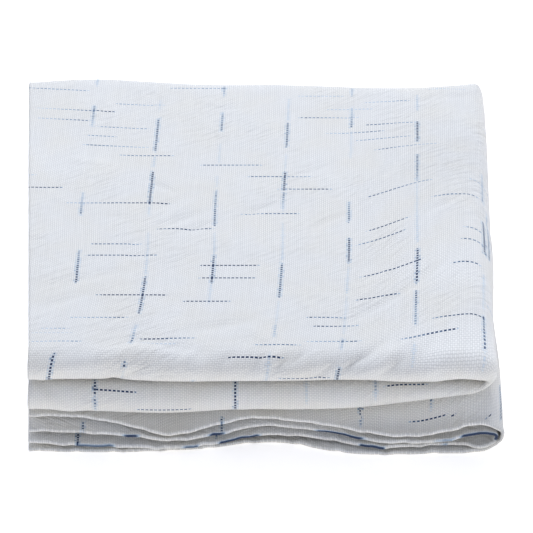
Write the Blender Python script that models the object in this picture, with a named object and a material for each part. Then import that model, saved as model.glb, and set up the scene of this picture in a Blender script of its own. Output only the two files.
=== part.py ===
"""A length of woven ikat cloth, folded in half three times and lying flat.

The cloth is one sheet. It is folded in half along its length, which makes the round front
rolls; then in half crosswise, which makes the turn at the right-hand end; then in half along
its length again, which makes the back roll and brings both selvedges to the front, under the
front rolls. That gives eight layers, counted from the top:

    1, 2    above and below the upper front roll
    3, 4    above and below the lower front roll
    5 to 8  the four selvedge edges at the front, 8 lying on the surface

Layers 1-4 and 5-8 turn round the right-hand end, and so do 2-3 and 6-7 inside them.
Every table is in millimetres: x to the right, y to the back, z up from the surface.
"""

import bpy
import numpy as np

MM = 0.001

THICKNESS = 1.0
MID = THICKNESS / 2  # height of the middle of a layer that lies on the surface

# Heights of the middle of each layer along the two long sides of the pile
UPPER_ROLL_TOP = 33.3
UPPER_ROLL_FOOT = 22.8
ROLL_GAP = 1.5  # from middle to middle of layers that touch
BACK_LEVELS = (27.5, 23.3, 19.1, 14.9, 12.9, 8.8, 4.6, MID)

# Where the pile ends on the right, and how its layers turn there
TURN = 9.5  # how far from the right-hand end the layers start to turn
INNER_TOP_REACH = 5.4
INNER_TOP_NOSE = 2.0
LOW_REACH = 11.0
INNER_LOW_REACH = 8.8
INNER_LOW_NOSE = 5.2

# The left-hand end is one plain cut through all layers, a little off square
CUT_X = -68.5
CUT_SKEW = -0.062  # sideways for each millimetre towards the back
CUT_LEAN = 0.056  # sideways for each millimetre of height

FRONT_Y = -62.0
BACK_Y = 60.0
BACK_ROUND = 0.8  # depth of the back roll over half its height
NOSE_ROUND = 1.0  # depth of a front roll over half its height
LIFT_Y = -59.0  # behind this line the layers 5 to 7 run level
TIP_Y = -67.0  # in front of this line they are at their edge heights

# The right-hand end of the layers 1 to 4: y, x
RIGHT_END = np.array([(-62.0, 67.5), (-30.0, 67.5), (10.0, 68.5), (60.0, 69.5)])

# The line along which the back roll starts: x, y
BACK_LINE = np.array(
    [(-70.0, 60.5), (-50.0, 62.0), (-20.0, 59.5), (10.0, 59.0), (45.0, 58.0), (69.0, 60.0)]
)

# The front rolls: x, y of the upper roll's axis, height of the lower roll's foot (layer 4),
# gap between the two rolls
ROLLS = np.array(
    [
        (-65.0, -61.0, 12.0, 1.5),
        (-24.0, -62.0, 10.5, 1.5),
        (0.0, -62.0, 12.0, 1.5),
        (30.0, -61.5, 13.5, 1.5),
        (50.0, -62.0, 15.5, 2.0),
        (60.0, -62.0, 16.5, 2.5),
        (69.0, -62.0, 16.5, 2.5),
    ]
)

# The four selvedge edges, which come forward in one wave left of the middle and a longer one
# on the right: x, then y of the layers 5, 6, 7 and 8, then heights of the layers 5, 6 and 7
EDGES = np.array(
    [
        (-65.0, -64.0, -66.0, -67.5, -68.0, 9.5, 6.0, 3.0),
        (-50.0, -64.0, -66.5, -68.5, -68.5, 9.5, 6.0, 3.0),
        (-35.0, -66.0, -67.5, -68.5, -68.5, 8.0, 5.5, 2.5),
        (-24.0, -68.5, -68.5, -69.0, -68.0, 7.0, 4.5, 2.2),
        (-12.0, -66.5, -67.0, -67.5, -67.0, 8.5, 5.5, 2.5),
        (0.0, -64.5, -64.5, -65.0, -65.0, 9.5, 6.0, 3.0),
        (10.0, -65.0, -65.0, -65.0, -65.0, 9.0, 6.0, 3.0),
        (22.0, -66.0, -66.0, -66.5, -68.0, 8.5, 5.5, 2.8),
        (32.0, -67.5, -68.5, -69.0, -69.5, 7.5, 5.0, 2.2),
        (42.0, -69.0, -69.0, -68.5, -69.5, 7.0, 4.5, 2.2),
        (54.0, -68.5, -68.5, -67.5, -69.0, 8.0, 5.0, 2.2),
        (60.0, -68.0, -68.5, -69.0, -69.0, 9.5, 6.5, 2.5),
        (69.0, -68.0, -68.5, -69.0, -68.5, 10.0, 7.0, 2.7),
    ]
)

# How finely the sheet is cut into faces
RUN_STEPS = 14
TURN_STEPS = 10
PANEL_STEPS = 6
NOSE_STEPS = 8
ROLL_STEPS = 8

CLOTH_WHITE = (0.73, 0.76, 0.81, 1.0)


def table(rows, column, at):
    """A table's column, read at places along its first column."""
    return np.interp(at, rows[:, 0], rows[:, column])


def eased(share):
    """A share from 0 to 1 that starts and ends gently."""
    share = np.clip(share, 0.0, 1.0)
    return share * share * (3.0 - 2.0 * share)


def levels(x, y):
    """Heights of the middles of the layers 1 to 8, each an array like x and y."""
    foot = table(ROLLS, 2, x)
    third = (foot - ROLL_GAP - MID) / 3
    front = [
        UPPER_ROLL_TOP,
        UPPER_ROLL_FOOT,
        UPPER_ROLL_FOOT - table(ROLLS, 3, x),
        foot,
        MID + 3 * third,
        MID + 2 * third,
        MID + third,
        MID,
    ]
    tips = {4: table(EDGES, 5, x), 5: table(EDGES, 6, x), 6: table(EDGES, 7, x)}
    tip = eased((LIFT_Y - y) / (LIFT_Y - TIP_Y))
    backward = np.clip((y - FRONT_Y) / (BACK_Y - FRONT_Y), 0.0, 1.0)
    found = []
    for index, (height, back) in enumerate(zip(front, BACK_LEVELS)):
        level = height + (back - height) * backward
        found.append(level + (tips.get(index, level) - level) * tip)
    return found


def turned(along, y, above, below, reach, nose):
    """x and z along a pair of layers that turn into each other at the right-hand end.

    along runs from 0 to 1 on the upper layer, from 1 to 2 round half an ellipse, which
    is nose deep and ends at reach, and from 2 to 3 back along the lower layer.
    """
    turn = np.pi * np.clip(along - 1.0, 0.0, 1.0)
    cut_z = np.where(along < 1.5, levels(CUT_X, y)[above], levels(CUT_X, y)[below])
    cut = CUT_X + CUT_SKEW * y + CUT_LEAN * cut_z
    start = table(RIGHT_END, 1, y) - TURN + reach - nose
    run = np.minimum(np.minimum(along, 3.0 - along), 1.0)
    x = cut + (start - cut) * run + nose * np.sin(turn)
    here = levels(x, y)
    middle = (here[above] + here[below]) / 2
    return x, middle + (here[above] - here[below]) / 2 * np.cos(turn)


def outer_top(along, y):
    """The layers 1 and 4."""
    return turned(along, y, 0, 3, TURN, TURN)


def inner_top(along, y):
    """The layers 2 and 3, inside 1 and 4."""
    return turned(along, y, 1, 2, INNER_TOP_REACH, INNER_TOP_NOSE)


def outer_low(along, y):
    """The layers 8 and 5, which carry on from 1 and 4 round the back."""
    return turned(3.0 - along, y, 4, 7, LOW_REACH, LOW_REACH)


def inner_low(along, y):
    """The layers 7 and 6, which carry on from 2 and 3 round the back."""
    return turned(3.0 - along, y, 5, 6, INNER_LOW_REACH, INNER_LOW_NOSE)


def panel(layer, along, y_from, y_to, shares):
    """The rows of a flat panel between two lines across the pile."""
    y = y_from + (y_to - y_from) * shares[:, None]
    x, z = layer(np.broadcast_to(along, y.shape), y)
    return np.stack([x, y, z], axis=-1)


def rolled(layer_from, layer_to, along, y, steps, depth_share):
    """The rows of half an ellipse that joins two layers, without its first and last row."""
    x_from, z_from = layer_from(along, y)
    x_to, z_to = layer_to(along, y)
    angle = np.linspace(0.0, np.pi, steps + 1)[1:-1, None]
    share = (1.0 - np.cos(angle)) / 2
    depth = np.hypot(x_to - x_from, z_to - z_from) / 2 * depth_share
    return np.stack(
        [
            x_from + (x_to - x_from) * share,
            y + depth * np.sin(angle),
            z_from + (z_to - z_from) * share,
        ],
        axis=-1,
    )


def cloth_middle():
    """The middle of the sheet, as rows from selvedge to selvedge and columns along it."""
    along = np.concatenate(
        [
            np.linspace(0.0, 1.0, RUN_STEPS, endpoint=False),
            np.linspace(1.0, 2.0, TURN_STEPS, endpoint=False),
            np.linspace(2.0, 3.0, RUN_STEPS + 1),
        ]
    )
    second = eased(along - 1.0)
    front_x = outer_top(along, np.full_like(along, FRONT_Y))[0]
    back_x = outer_top(along, np.full_like(along, BACK_Y))[0]
    back = table(BACK_LINE, 1, back_x)
    axis = table(ROLLS, 1, front_x) * (1 - second) + FRONT_Y * second
    outer_edge = table(EDGES, 4, front_x) * (1 - second) + table(EDGES, 1, front_x) * second
    inner_edge = table(EDGES, 3, front_x) * (1 - second) + table(EDGES, 2, front_x) * second
    even = np.linspace(0.0, 1.0, PANEL_STEPS + 1)
    close_to_edge = even**2
    return np.concatenate(
        [
            panel(outer_low, along, outer_edge, back, close_to_edge),
            rolled(outer_low, outer_top, along, back, ROLL_STEPS, BACK_ROUND),
            panel(outer_top, along, back, axis, even),
            rolled(outer_top, inner_top, along, axis, NOSE_STEPS, -NOSE_ROUND),
            panel(inner_top, along, axis, back, even),
            rolled(inner_top, inner_low, along, back, ROLL_STEPS, BACK_ROUND),
            panel(inner_low, along, back, inner_edge, 1.0 - close_to_edge[::-1]),
        ]
    )


def quads(rows, columns, first):
    """Faces of a grid of points whose numbers start at first."""
    corner = first + np.arange((rows - 1) * columns).reshape(rows - 1, columns)[:, :-1]
    corner = corner.ravel()
    return np.stack([corner, corner + 1, corner + columns + 1, corner + columns], axis=1)


def closed_sheet(middle):
    """Points and faces of a sheet of even thickness round a grid of points, with its rim."""
    rows, columns, _ = middle.shape
    across = np.gradient(middle, axis=0)
    onward = np.gradient(middle, axis=1)
    normal = np.cross(onward, across)
    normal *= MID / np.linalg.norm(normal, axis=2, keepdims=True)
    points = np.concatenate([(middle + normal).reshape(-1, 3), (middle - normal).reshape(-1, 3)])
    points[:, 2] = np.maximum(points[:, 2], 0.0)
    one_side = quads(rows, columns, 0)
    number = np.arange(rows * columns).reshape(rows, columns)
    rim = np.concatenate([number[0], number[1:, -1], number[-1, -2::-1], number[-2:0:-1, 0]])
    ahead = np.roll(rim, -1)
    other = rows * columns
    wall = np.stack([ahead, rim, rim + other, ahead + other], axis=1)
    return points, np.concatenate([one_side, one_side[:, ::-1] + other, wall])


def cloth_material():
    """Bleached cotton, pale and matt."""
    material = bpy.data.materials.new("white_cotton")
    material.use_nodes = True
    shader = material.node_tree.nodes["Principled BSDF"]
    shader.inputs["Base Color"].default_value = CLOTH_WHITE
    shader.inputs["Roughness"].default_value = 0.9
    shader.inputs["Metallic"].default_value = 0.0
    return material


def folded_cloth():
    """The whole cloth as one closed solid, with its origin under the middle of its box."""
    points, faces = closed_sheet(cloth_middle())
    points[:, :2] -= (points[:, :2].min(axis=0) + points[:, :2].max(axis=0)) / 2
    mesh = bpy.data.meshes.new("folded_cloth")
    mesh.from_pydata((points * MM).tolist(), [], faces.tolist())
    mesh.update()
    mesh.shade_smooth()
    mesh.materials.append(cloth_material())
    cloth = bpy.data.objects.new("folded_cloth", mesh)
    bpy.context.scene.collection.objects.link(cloth)


for old in list(bpy.data.objects):
    bpy.data.objects.remove(old, do_unlink=True)
folded_cloth()
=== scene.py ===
"""Looks of the folded ikat cloth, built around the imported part.

The cloth is one length of white plain-woven cotton. Its yarns were dyed with indigo in short
stretches before it was woven, so each mark is one yarn wide and comes up at every other
crossing. It is folded in half along its length, then crosswise, then along its length again,
which gives eight layers, counted from the top:

    1, 2    above and below the upper front roll
    3, 4    above and below the lower front roll
    5 to 8  the four selvedge edges at the front, 8 lying on the surface

Sizes in the tables are millimetres, x to the right, y to the back and z up, unless they say
otherwise. Places in the cloth itself are yarn counts: columns along the warp yarns, which run
left to right, and rows across them.
"""

import logging
from collections.abc import Callable
from dataclasses import dataclass, field
from enum import Enum

import bpy
import numpy as np
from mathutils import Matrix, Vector


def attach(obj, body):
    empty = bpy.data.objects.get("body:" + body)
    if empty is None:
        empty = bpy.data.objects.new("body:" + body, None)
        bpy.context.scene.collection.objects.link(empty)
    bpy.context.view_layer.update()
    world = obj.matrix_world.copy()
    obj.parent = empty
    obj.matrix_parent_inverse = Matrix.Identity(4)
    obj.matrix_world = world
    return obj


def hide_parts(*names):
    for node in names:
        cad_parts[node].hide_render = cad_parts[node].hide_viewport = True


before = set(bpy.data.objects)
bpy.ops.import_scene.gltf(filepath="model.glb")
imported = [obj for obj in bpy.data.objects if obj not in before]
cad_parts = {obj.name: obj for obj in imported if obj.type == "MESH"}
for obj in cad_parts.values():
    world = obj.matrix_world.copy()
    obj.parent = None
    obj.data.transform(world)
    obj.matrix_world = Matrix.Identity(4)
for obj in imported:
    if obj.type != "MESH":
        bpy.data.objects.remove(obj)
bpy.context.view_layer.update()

MM = 0.001
LOG = logging.getLogger("folded_cloth")


def table(*values: tuple[float, ...]) -> np.ndarray:
    """A table as a dataclass field, one row for each value."""
    return field(default_factory=lambda: np.array(values))


def smooth(rows: np.ndarray, column: int, at: np.ndarray | float) -> np.ndarray:
    """Reads a table's column on a smooth curve through its rows.

    Between two rows it is the cubic h with h(0), h(1) the rows' values and slopes taken from
    their neighbours: (2s^3 - 3s^2 + 1) a + (s^3 - 2s^2 + s) w p + (3s^2 - 2s^3) b + (s^3 - s^2) w q.

    Args:
        rows: the table, its first column rising.
        column: which column to read.
        at: where to read it.

    Returns:
        The values, shaped like at.
    """
    x, y = rows[:, 0], rows[:, column]
    held = np.clip(at, x[0], x[-1])
    slope = np.gradient(y, x)
    slope[[0, -1]] = 0.0
    left = np.clip(np.searchsorted(x, held, side="right") - 1, 0, len(x) - 2)
    wide = x[left + 1] - x[left]
    s = (held - x[left]) / wide
    start = (2 * s**3 - 3 * s**2 + 1) * y[left] + (s**3 - 2 * s**2 + s) * wide * slope[left]
    return start + (3 * s**2 - 2 * s**3) * y[left + 1] + (s**3 - s**2) * wide * slope[left + 1]


def eased(share: np.ndarray | float) -> np.ndarray:
    """Turns a share from 0 to 1 into 3s^2 - 2s^3, which starts and ends gently.

    Args:
        share: any number, held between 0 and 1.

    Returns:
        The eased share.
    """
    held = np.clip(share, 0.0, 1.0)
    return held * held * (3.0 - 2.0 * held)


@dataclass(frozen=True)
class Weave:
    """The plain weave: yarn spacing in metres, and where its first row lies."""

    weft_pitch: float = 0.000600
    warp_pitch: float = 0.000468
    first_row: float = 0.0036


@dataclass
class Pile:
    """The folded form, as the middle of the sheet, in millimetres."""

    thickness: float = 0.74
    floor_gap: float = 0.02
    # heights at the front: layer 1, layer 3 but for the gap of the rolls, and how far layer 5 is
    # below 4; then the layers 5 to 8 as thirds of the height of 5
    upper_top: float = 33.3
    lower_top: float = 22.8
    roll_gap: float = 1.5
    low_shares: tuple[float, ...] = (3.0, 2.3, 1.3, 0.0)
    # heights at the back: layers 1 to 7
    back_levels: tuple[float, ...] = (27.5, 23.3, 19.1, 14.9, 12.9, 8.8, 4.6)
    upper_full: float = 0.7
    # x of the cut end at y 0 on the surface, and how it moves with y and with height
    cut: tuple[float, float, float] = (-68.3, -0.062, 0.056)
    # where front and back heights hold, and the depth of the rolls over half their height
    front_y: float = -62.0
    back_y: float = 60.0
    back_round: float = 0.8
    front_round: float = -1.0
    # where the lower layers start to ease over to their edges, and where they have done so
    lift_y: float = -59.0
    tip_y: float = -67.0
    # the middle of the CAD part's box in these tables, which the frame has at 0, 0
    centre: tuple[float, float] = (-0.362, 1.831)
    # how many steps the grid has along the warp, then across it
    run_steps: int = 128
    turn_steps: int = 22
    low_steps: int = 68
    panel_steps: int = 20
    top_steps: int = 104
    hidden_steps: int = 13
    nose_steps: int = 22
    roll_steps: int = 14
    crowding: tuple[float, float] = (2.0, 1.7)  # how rows crowd to the selvedges, and to the roll
    # y, then x where each turn on the right ends: layers 1 and 4, 2 and 3, 5 and 8, 6 and 7
    ends: np.ndarray = table(
        (-62.0, 66.8, 64.4, 69.2, 67.4), (-42.0, 66.8, 64.4, 69.4, 67.4),
        (-30.0, 67.5, 65.2, 69.0, 67.1), (-20.0, 68.2, 66.0, 68.7, 66.9), (0.0, 68.5, 66.7, 68.6, 67.0),
        (20.0, 69.1, 67.3, 69.0, 67.4), (40.0, 69.8, 68.0, 69.6, 68.0), (60.0, 70.0, 68.2, 69.8, 68.2),
    )
    # y, then the depth of each turn, in the same order
    depths: np.ndarray = table(
        (-62.0, 7.5, 1.7, 11.0, 5.2),
        (0.0, 7.5, 1.7, 8.0, 4.5),
        (35.0, 5.5, 1.7, 6.0, 3.5),
        (60.0, 2.5, 1.7, 3.5, 2.2),
    )
    # x, y of the line along which the back roll starts
    back_line: np.ndarray = table(
        (-70.0, 60.5), (-60.0, 61.5), (-50.0, 62.0), (-31.0, 60.5), (-20.0, 59.5), (10.0, 59.0),
        (44.0, 57.5), (55.0, 58.0), (63.0, 59.0), (70.0, 60.0),
    )
    # x, y of the upper roll's axis, height of layer 4, gap of the two rolls
    rolls: np.ndarray = table(
        (-65.0, -61.0, 12.7, 1.5), (-45.0, -61.0, 12.0, 1.5), (-24.0, -62.0, 11.4, 1.5),
        (-7.0, -62.0, 12.5, 1.5), (10.0, -62.0, 12.6, 1.5), (31.0, -61.5, 13.6, 1.5),
        (40.0, -62.0, 14.9, 1.6), (52.0, -62.0, 16.7, 1.8), (60.0, -62.0, 18.0, 1.9),
        (67.0, -62.0, 18.3, 1.9),
    )
    # x, height of the upper roll's foot (layer 2)
    upper_foot: np.ndarray = table(
        (-70.0, 23.3), (-45.0, 23.6), (-20.0, 23.6), (25.0, 23.8), (41.0, 23.5), (52.0, 24.0),
        (58.0, 24.5), (62.0, 24.2), (67.0, 23.0),
    )
    # x, then y of the selvedges of layers 5, 6, 7 and 8, then heights of those of 5, 6 and 7
    edges: np.ndarray = table(
        (-65.0, -64.0, -66.0, -67.5, -68.0, 9.5, 6.0, 3.2),
        (-50.0, -64.0, -66.5, -68.5, -68.5, 9.3, 6.0, 2.9),
        (-35.0, -66.0, -67.5, -68.5, -68.5, 8.0, 5.5, 2.2),
        (-24.0, -68.5, -68.5, -69.0, -68.0, 7.0, 4.8, 2.2),
        (-12.0, -66.5, -67.0, -67.5, -67.0, 8.6, 5.6, 2.5),
        (0.0, -64.5, -64.5, -65.0, -65.0, 9.5, 6.2, 3.0),
        (10.0, -65.0, -65.0, -65.0, -65.0, 9.0, 5.9, 3.0),
        (22.0, -66.0, -66.0, -66.5, -68.0, 8.0, 4.8, 2.4),
        (32.0, -67.5, -68.5, -69.0, -69.5, 7.0, 4.3, 2.4),
        (42.0, -69.0, -69.0, -68.5, -69.5, 7.0, 4.5, 2.6),
        (54.0, -68.5, -68.5, -67.5, -69.0, 8.6, 5.0, 2.2),
        (60.0, -68.0, -68.5, -69.0, -69.0, 10.4, 6.8, 2.4),
        (67.0, -68.0, -68.5, -69.0, -68.5, 11.8, 8.3, 2.7),
    )

    @property
    def bottom(self) -> float:
        """Height of the middle of the lowest layer."""
        return self.thickness / 2 + self.floor_gap

    def levels(self, x: np.ndarray | float, y: np.ndarray) -> list[np.ndarray]:
        """Heights of the middles of the layers 1 to 8.

        Each layer runs straight from its height at the front to its height at the back; in
        front of lift_y the layers 5 to 7 ease over to their edge heights.

        Args:
            x: places to the right.
            y: places to the back, shaped like x.

        Returns:
            Eight arrays of heights.
        """
        foot = smooth(self.rolls, 2, x)
        third = (foot - self.roll_gap - self.bottom) / 3
        upper_foot = smooth(self.upper_foot, 1, x)
        under = self.lower_top - smooth(self.rolls, 3, x)
        front = [self.upper_top, upper_foot, under, foot]
        front += [self.bottom + share * third for share in self.low_shares]
        tips = {layer: smooth(self.edges, layer + 1, x) for layer in (4, 5, 6)}
        tip = eased((self.lift_y - y) / (self.lift_y - self.tip_y))
        backward = np.clip((y - self.front_y) / (self.back_y - self.front_y), 0.0, 1.0)
        found = []
        for index, (height, back) in enumerate(zip(front, (*self.back_levels, self.bottom))):
            level = height + (back - height) * backward
            found.append(level + (tips.get(index, level) - level) * tip)
        return found

    def turned(
        self, along: np.ndarray, y: np.ndarray, pair: tuple[int, int], turn: int
    ) -> tuple[np.ndarray, np.ndarray]:
        """Places along two layers that turn into each other at the right-hand end.

        From 0 to 1 along is the upper layer, from 1 to 2 half an ellipse, and from 2 to 3 the
        way back along the lower layer. The upper turns are fuller below: past the middle, the
        sine that gives their reach is raised to the power upper_full.

        Args:
            along: how far along, from 0 to 3.
            y: places to the back, shaped like along.
            pair: the numbers of the upper and the lower layer, from 0.
            turn: the column of the turn in the tables of ends and depths.

        Returns:
            x and z, shaped like along.
        """
        above, below = pair
        angle = np.pi * np.clip(along - 1.0, 0.0, 1.0)
        at_cut = self.levels(self.cut[0], y)
        cut_z = np.where(along < 1.5, at_cut[above], at_cut[below])
        cut = self.cut[0] + self.cut[1] * y + self.cut[2] * cut_z
        nose = smooth(self.depths, turn, y)
        start = smooth(self.ends, turn, y) - nose
        run = np.minimum(np.minimum(along, 3.0 - along), 1.0)
        full = np.where((along > 1.5) & (turn < 3), self.upper_full, 1.0)
        x = cut + (start - cut) * run + nose * np.clip(np.sin(angle), 0.0, 1.0) ** full
        here = self.levels(x, y)
        middle = (here[above] + here[below]) / 2
        return x, middle + (here[above] - here[below]) / 2 * np.cos(angle)

    def outer_top_at(self, along: np.ndarray, y: np.ndarray) -> tuple[np.ndarray, np.ndarray]:
        """x and z on the layers 1 and 4."""
        return self.turned(along, y, (0, 3), 1)

    def inner_top_at(self, along: np.ndarray, y: np.ndarray) -> tuple[np.ndarray, np.ndarray]:
        """x and z on the layers 2 and 3."""
        return self.turned(along, y, (1, 2), 2)

    def outer_low_at(self, along: np.ndarray, y: np.ndarray) -> tuple[np.ndarray, np.ndarray]:
        """x and z on the layers 8 and 5, which carry on from 1 and 4 round the back."""
        return self.turned(3.0 - along, y, (4, 7), 3)

    def inner_low_at(self, along: np.ndarray, y: np.ndarray) -> tuple[np.ndarray, np.ndarray]:
        """x and z on the layers 7 and 6, which carry on from 2 and 3 round the back."""
        return self.turned(3.0 - along, y, (5, 6), 4)

    def along(self) -> np.ndarray:
        """How far along each column of the grid is, from 0 to 3."""
        run = np.linspace(0.0, 1.0, self.run_steps, endpoint=False)
        turn = np.linspace(1.0, 2.0, self.turn_steps, endpoint=False)
        return np.concatenate([run, turn, np.linspace(2.0, 3.0, self.low_steps + 1)])

    @staticmethod
    def panel(layer: Callable, along: np.ndarray, ends: tuple, shares: np.ndarray) -> np.ndarray:
        """Rows of a flat panel, on straight lines from one line across the pile to another.

        Args:
            layer: the method that gives the panel's x and z.
            along: how far along each column is.
            ends: y where each column starts and ends.
            shares: how far from start to end each row is.

        Returns:
            Points, rows by columns by 3.
        """
        y = ends[0] + (ends[1] - ends[0]) * shares[:, None]
        x, z = layer(np.broadcast_to(along, y.shape), y)
        return np.stack([x, y, z], axis=-1)

    @staticmethod
    def rolled(
        layers: tuple, along: np.ndarray, y: np.ndarray, steps: int, depth_share: float
    ) -> np.ndarray:
        """Rows of half an ellipse that joins two layers, without its first and last row.

        A point at angle a is (1 - cos a) / 2 of the way from one layer to the other, and
        sin a of the depth in front of or behind the line y.

        Args:
            layers: the methods of the layers that it leaves and reaches.
            along: how far along each column is.
            y: where each column starts and ends.
            steps: rows that the roll is cut into.
            depth_share: its depth over half its height, below 0 for a front roll.

        Returns:
            Points, steps - 1 rows by columns by 3.
        """
        x_from, z_from = layers[0](along, y)
        x_to, z_to = layers[1](along, y)
        angle = np.linspace(0.0, np.pi, steps + 1)[1:-1, None]
        share = (1.0 - np.cos(angle)) / 2
        depth = np.hypot(x_to - x_from, z_to - z_from) / 2 * depth_share
        return np.stack(
            [
                x_from + (x_to - x_from) * share,
                y + depth * np.sin(angle),
                z_from + (z_to - z_from) * share,
            ],
            axis=-1,
        )

    def middle(self) -> tuple[np.ndarray, int]:
        """The middle of the sheet, from selvedge to selvedge.

        Returns:
            Points, rows by columns by 3, and the row of the upper roll's axis on layer 1.
        """
        along = self.along()
        second = eased(along - 1.0)
        front_x = self.outer_top_at(along, np.full_like(along, self.front_y))[0]
        back_x = self.outer_top_at(along, np.full_like(along, self.back_y))[0]
        back = smooth(self.back_line, 1, back_x)

        def blend(first: int, last: int) -> np.ndarray:
            """A line that follows one column of edges on the upper layers, another below."""
            upper, lower = (smooth(self.edges, column, front_x) for column in (first, last))
            return upper * (1 - second) + lower * second

        axis = smooth(self.rolls, 1, front_x) * (1.0 - second) + self.front_y * second
        outer_edge, inner_edge = blend(4, 1), blend(3, 2)
        close_to_edge = np.linspace(0.0, 1.0, self.panel_steps + 1) ** self.crowding[0]
        top = np.linspace(0.0, 1.0, self.top_steps + 1)
        hidden = np.linspace(0.0, 1.0, self.hidden_steps + 1) ** self.crowding[1]
        outer_top, inner_top = self.outer_top_at, self.inner_top_at
        outer_low, inner_low = self.outer_low_at, self.inner_low_at
        points = np.concatenate(
            [
                self.panel(outer_low, along, (outer_edge, back), close_to_edge),
                self.rolled((outer_low, outer_top), along, back, self.roll_steps, self.back_round),
                self.panel(outer_top, along, (back, axis), top),
                self.rolled((outer_top, inner_top), along, axis, self.nose_steps, self.front_round),
                self.panel(inner_top, along, (axis, back), hidden),
                self.rolled((inner_top, inner_low), along, back, self.roll_steps, self.back_round),
                self.panel(inner_low, along, (back, inner_edge), 1.0 - close_to_edge[::-1]),
            ]
        )
        return points, self.panel_steps + self.roll_steps + self.top_steps


@dataclass
class Grain:
    """Where the yarns lie in the folded sheet: its places in the cloth, in millimetres."""

    lower_offset: float = 144.0
    wander_side: float = 70.0
    # across, how far the weft has wandered to the right there: at the left end and at the right
    # end of the upper layers, and how far along it has wandered on the lower layers
    wander: np.ndarray = table(
        (-340.0, 0.6, 0.6, 3.9), (-120.0, -7.0, -4.0, 0.0), (-78.0, -7.0, -4.0, 0.0),
        (-70.0, -6.6, -3.6, 0.0), (-66.0, -5.8, -3.4, 0.0), (-60.0, -4.0, -3.1, 0.0),
        (-50.0, -2.0, -2.7, 0.0), (-35.0, -0.3, -2.0, 0.0), (-20.0, 0.0, -0.9, 0.0),
        (0.0, -0.6, 0.0, 0.0), (25.0, 0.1, 1.2, 0.0), (60.0, 1.0, 2.6, 0.0), (180.0, 2.4, 2.4, 3.9),
    )
    # y, how much the warp climbs to the back for each millimetre that the bow has run
    bow: np.ndarray = table(
        (-78.0, 0.0), (-68.0, 0.0), (-60.0, 0.14), (-52.0, 0.26), (-42.0, 0.30), (-34.0, 0.32),
        (-24.0, 0.41), (-8.0, 0.48), (5.0, 0.47), (14.0, 0.43), (28.0, 0.26), (37.0, 0.14),
        (60.0, 0.08),
    )
    # place along the warp, how far to the right the bow has run there
    bow_run: np.ndarray = table(
        (26.0, 0.0), (31.0, 3.5), (54.0, 27.0), (60.0, 29.5), (64.0, 27.0), (72.0, 12.0), (82.0, 0.0)
    )
    # x, how far the warp of the lower front roll has slipped down there
    slip: np.ndarray = table((36.0, 0.0), (47.0, 1.6), (58.0, 3.1))
    # left of this place the warp sags towards the back, by this much for each millimetre, where
    # the place across lies between the numbers that follow, eased in and out
    sag_from: float = -35.0
    sag: float = -0.09
    sag_y: tuple[float, float, float, float] = (15.0, 35.0, 60.0, 80.0)

    def places(self, middle: np.ndarray, axis_row: int, pile: Pile) -> tuple[np.ndarray, np.ndarray]:
        """Places along and across the warp for each point of the sheet.

        Across is y on layer 1, carried on by length over the rolls. Along is x on the upper
        layers and lower_offset - x on the lower ones, and turns evenly from one to the other.
        The weft wanders, and the warp bows, slips and sags, as the fields above say.

        Args:
            middle: the middle of the sheet.
            axis_row: the row of the upper roll's axis.
            pile: the folded form.

        Returns:
            Places along and across, rows by columns.
        """
        steps = np.linalg.norm(np.diff(middle, axis=0), axis=2)
        length = np.concatenate([np.zeros((1, middle.shape[1])), np.cumsum(steps, axis=0)])
        across = middle[axis_row, :, 1] - (length - length[axis_row])
        x = middle[:, :, 0]
        share = np.clip(pile.along() - 1.0, 0.0, 1.0)
        first = x[:, pile.run_steps][:, None]
        last = x[:, pile.run_steps + pile.turn_steps][:, None]
        turning = first + (self.lower_offset - last - first) * share
        raw = np.where(share <= 0.0, x, np.where(share >= 1.0, self.lower_offset - x, turning))
        bowed = smooth(self.bow, 1, across) * smooth(self.bow_run, 1, raw)
        slipped = smooth(self.slip, 1, x) * share
        low, full, top, gone = self.sag_y
        fade = eased((across - low) / (full - low)) * eased((gone - across) / (gone - top))
        sagged = self.sag * np.minimum(raw - self.sag_from, 0.0) * fade
        left, right, low_side = (smooth(self.wander, column, across) for column in (1, 2, 3))
        rightwards = np.clip((x + self.wander_side) / (2 * self.wander_side), 0.0, 1.0)
        wandered = left + (right - left) * rightwards
        wandered = wandered * (1.0 - share) + low_side * share
        return raw - wandered, across - bowed - sagged - slipped


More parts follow.
